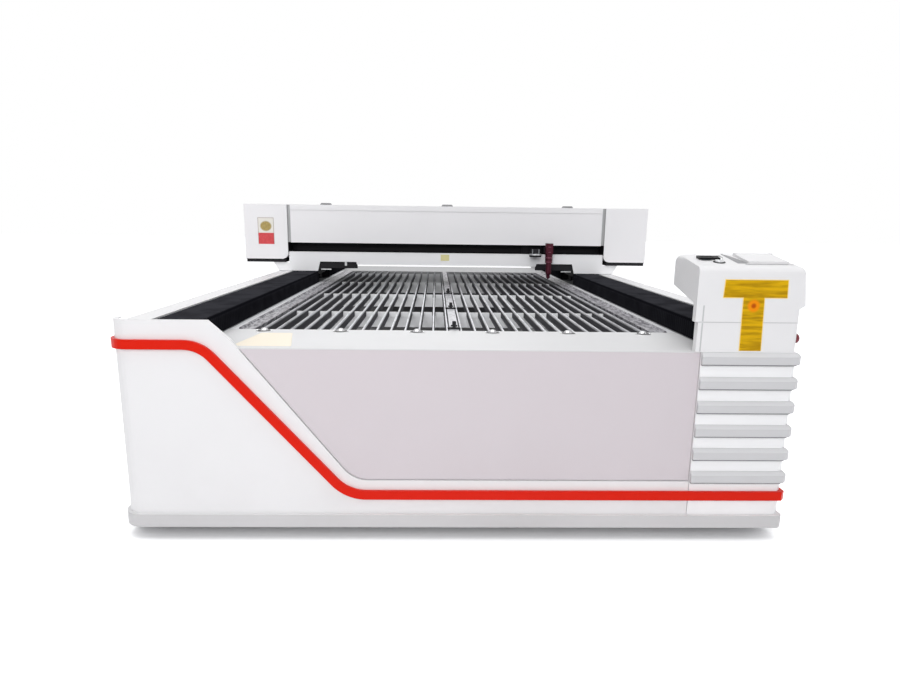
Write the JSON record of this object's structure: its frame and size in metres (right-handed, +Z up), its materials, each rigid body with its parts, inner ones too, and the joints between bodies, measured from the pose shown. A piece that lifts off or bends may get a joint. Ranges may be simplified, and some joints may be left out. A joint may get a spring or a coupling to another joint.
{
  "type": "laser engraving machine",
  "caption": "Flat-bed laser engraving and cutting machine with a slat table, a gantry travelling on bellows-covered guides, a moving laser head and a corner console",
  "frame": {"origin": "under the middle of the overall box, on the floor", "axes": "+X to the operator's right, +Y from the operator's side to the back, +Z up"},
  "size_m": [2.24, 3.408, 0.997],
  "materials": {
    "white_paint": "satin powder coat",
    "grey_paint": "satin powder coat",
    "orange_trim": "satin paint",
    "black_metal": "satin black paint",
    "frame_steel": "primer grey paint",
    "zinc": "galvanised sheet",
    "ground_steel": "ground and oiled",
    "aluminium": "mill extruded",
    "chrome_trim": "polished",
    "bellows_cloth": "coated cloth",
    "belt_rubber": "matt",
    "black_plastic": "moulded",
    "red_plastic": "gloss",
    "crimson_anodised": "anodised",
    "tube_glass": "clear"
  },
  "bodies": {
    "base": {"frame": "frame_steel", "levelling_feet": "black_metal", "base_skirt": "grey_paint", "front_panel": "grey_paint", "front_shroud": "white_paint", "accent_strip": "orange_trim", "corner_panel": "white_paint", "corner_ribs": "grey_paint", "left_side_panel": "white_paint", "right_side_panel": "white_paint", "rear_panel": "white_paint", "exhaust_collars": "zinc", "front_ledge": "white_paint", "rear_ledge": "white_paint", "ball_cups": "chrome_trim", "table_rails": "aluminium", "knife_slats": "aluminium", "slat_bearers": "zinc", "collection_pan": "zinc", "y_guide_rails": "ground_steel", "tunnel_ends": "black_metal", "y_motors": "black_metal", "bellows_front": "bellows_cloth", "bellows_rear": "bellows_cloth", "console_post": "white_paint", "console_hood": "white_paint", "console_display": "black_plastic"},
    "gantry": {"gantry_feet": "frame_steel", "gantry_beam": "black_metal", "bridge_plate": "grey_paint", "front_cover": "white_paint", "rear_cover": "white_paint", "end_covers": "white_paint", "end_trays": "black_metal", "x_guide_rail": "ground_steel", "laser_tube": "tube_glass", "tube_mounts": "aluminium", "gantry_ends": "grey_paint", "x_motor": "black_metal", "x_belt": "belt_rubber"},
    "gantry lid": {"gantry_lid": "white_paint", "lid_pulls": "black_plastic"},
    "carriage": {"x_carriage": "black_metal", "head_body": "crimson_anodised", "camera_pod": "black_metal"},
    "lens tube": {"lens_tube": "crimson_anodised"},
    "drive pulley": {"x_pulley": "aluminium"},
    "idler pulley": {"x_idler": "aluminium"},
    "left screw": {"y_screw_left": "ground_steel"},
    "right screw": {"y_screw_right": "ground_steel"},
    "console lid": {"console_lid": "white_paint"},
    "stop button": {"estop_button": "red_plastic"},
    "selector": {"selector_knob": "chrome_trim"},
    "feed ball 1": {"feed_ball_1": "chrome_trim"},
    "feed ball 2": {"feed_ball_2": "chrome_trim"},
    "feed ball 3": {"feed_ball_3": "chrome_trim"},
    "feed ball 4": {"feed_ball_4": "chrome_trim"},
    "feed ball 5": {"feed_ball_5": "chrome_trim"},
    "feed ball 6": {"feed_ball_6": "chrome_trim"}
  },
  "joints": [
    {"name": "gantry_travel", "type": "slide", "parent": "base", "child": "gantry", "axis": [0, 1, 0], "range_m": [-1.6, 0.84], "deforming": ["bellows_front", "bellows_rear"]},
    {"name": "left_screw_turn", "type": "hinge", "parent": "base", "child": "left screw", "pos_m": [-0.838, 0, 0.588], "axis": [0, 1, 0], "range_deg": [-23100, 12150]},
    {"name": "right_screw_turn", "type": "hinge", "parent": "base", "child": "right screw", "pos_m": [0.838, 0, 0.588], "axis": [0, 1, 0], "range_deg": [-23100, 12150]},
    {"name": "carriage_travel", "type": "slide", "parent": "gantry", "child": "carriage", "axis": [1, 0, 0], "range_m": [-1.22, 0.08]},
    {"name": "drive_pulley_turn", "type": "hinge", "parent": "gantry", "child": "drive pulley", "pos_m": [0.935, 0.3345, 0.798], "axis": [0, 1, 0], "range_deg": [-230, 3300]},
    {"name": "idler_pulley_turn", "type": "hinge", "parent": "gantry", "child": "idler pulley", "pos_m": [-0.935, 0.3345, 0.798], "axis": [0, 1, 0], "range_deg": [-230, 3300]},
    {"name": "focus_slide", "type": "slide", "parent": "carriage", "child": "lens tube", "axis": [0, 0, 1], "range_m": [-0.015, 0.015]},
    {"name": "gantry_lid_hinge", "type": "hinge", "parent": "gantry", "child": "gantry lid", "pos_m": [0, 0.622, 0.982], "axis": [-1, 0, 0], "range_deg": [0, 100]},
    {"name": "console_lid_hinge", "type": "hinge", "parent": "base", "child": "console lid", "pos_m": [0.856, -1.55254, 0.82146], "axis": [-1, 0, 0], "range_deg": [0, 95]},
    {"name": "stop_button_push", "type": "slide", "parent": "base", "child": "stop button", "axis": [-1, 0, 0], "range_m": [0, 0.005], "stiffness_N_per_m": 1500},
    {"name": "selector_turn", "type": "hinge", "parent": "base", "child": "selector", "pos_m": [0.726, -1.63061, 0.80328], "axis": [0, -0.1655, 0.9862], "range_deg": [-90, 90]},
    {"name": "feed_ball_1_roll", "type": "hinge", "parent": "base", "child": "feed ball 1", "pos_m": [-0.6, -1.41, 0.557], "axis": [1, 0, 0], "continuous": true},
    {"name": "feed_ball_2_roll", "type": "hinge", "parent": "base", "child": "feed ball 2", "pos_m": [-0.36, -1.41, 0.557], "axis": [1, 0, 0], "continuous": true},
    {"name": "feed_ball_3_roll", "type": "hinge", "parent": "base", "child": "feed ball 3", "pos_m": [-0.12, -1.41, 0.557], "axis": [1, 0, 0], "continuous": true},
    {"name": "feed_ball_4_roll", "type": "hinge", "parent": "base", "child": "feed ball 4", "pos_m": [0.12, -1.41, 0.557], "axis": [1, 0, 0], "continuous": true},
    {"name": "feed_ball_5_roll", "type": "hinge", "parent": "base", "child": "feed ball 5", "pos_m": [0.36, -1.41, 0.557], "axis": [1, 0, 0], "continuous": true},
    {"name": "feed_ball_6_roll", "type": "hinge", "parent": "base", "child": "feed ball 6", "pos_m": [0.6, -1.41, 0.557], "axis": [1, 0, 0], "continuous": true}
  ],
  "couplings": [
    {"joint": "left_screw_turn", "follows": "gantry_travel", "rad_per_m": 251.33},
    {"joint": "right_screw_turn", "follows": "gantry_travel", "rad_per_m": 251.33},
    {"joint": "drive_pulley_turn", "follows": "carriage_travel", "rad_per_m": -46.948},
    {"joint": "idler_pulley_turn", "follows": "carriage_travel", "rad_per_m": -46.948}
  ]
}
